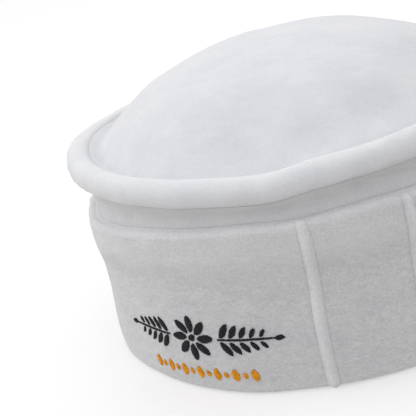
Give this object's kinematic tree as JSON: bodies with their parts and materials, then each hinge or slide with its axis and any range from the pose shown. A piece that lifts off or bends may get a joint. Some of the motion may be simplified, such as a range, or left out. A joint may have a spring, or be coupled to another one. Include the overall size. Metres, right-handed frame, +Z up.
{
  "type": "pakol hat",
  "caption": "Soft fleece pakol hat with a domed crown, a padded roll round its rim and a tall turned-up cuff with raised vertical ribs.",
  "frame": {"origin": "under the middle of the hat, on the surface that it stands on", "axes": "+Z up through the crown; -Y towards the plain front of the cuff; +X towards the wearer's left"},
  "size_m": [0.209, 0.2008, 0.1225],
  "materials": {
    "crown_fleece": "white brushed fleece",
    "roll_fleece": "white brushed fleece",
    "wall_fleece": "white brushed fleece",
    "cuff_fleece": "white brushed fleece",
    "rib_fleece": "white brushed fleece"
  },
  "bodies": {
    "root": {"crown": "crown_fleece", "rim_roll": "roll_fleece", "side_wall": "wall_fleece", "cuff": "cuff_fleece", "rib_01": "rib_fleece", "rib_02": "rib_fleece", "rib_03": "rib_fleece", "rib_04": "rib_fleece", "rib_05": "rib_fleece", "rib_06": "rib_fleece", "rib_07": "rib_fleece", "rib_08": "rib_fleece", "rib_09": "rib_fleece", "rib_10": "rib_fleece", "rib_11": "rib_fleece", "rib_12": "rib_fleece", "rib_13": "rib_fleece"}
  },
  "joints": []
}
